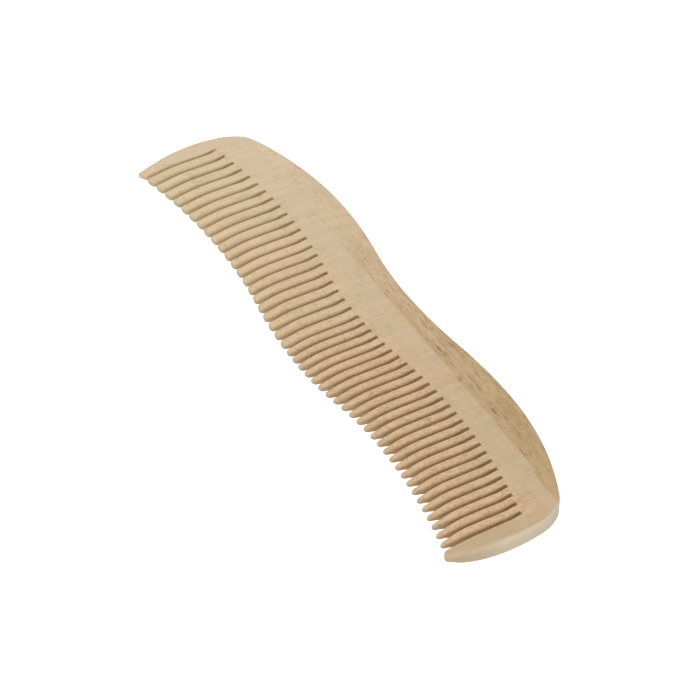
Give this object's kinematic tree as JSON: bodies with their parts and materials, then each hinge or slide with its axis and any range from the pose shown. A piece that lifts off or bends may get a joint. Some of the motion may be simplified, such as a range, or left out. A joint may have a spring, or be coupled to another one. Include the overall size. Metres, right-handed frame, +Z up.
{
  "type": "wooden hair comb",
  "caption": "Wooden hair comb cut from one flat board, with a wavy back edge, rounded ends and a coarse and a fine half of teeth.",
  "frame": {"origin": "centre of the comb's outline, on the plane of the lower flat face", "axes": "+X along the comb toward the fine half, +Y from the teeth toward the back edge, +Z up through the thickness"},
  "size_m": [0.17, 0.0419, 0.0042],
  "materials": {
    "beech": "sanded, unvarnished"
  },
  "bodies": {
    "root": {"comb": "beech"}
  },
  "joints": []
}
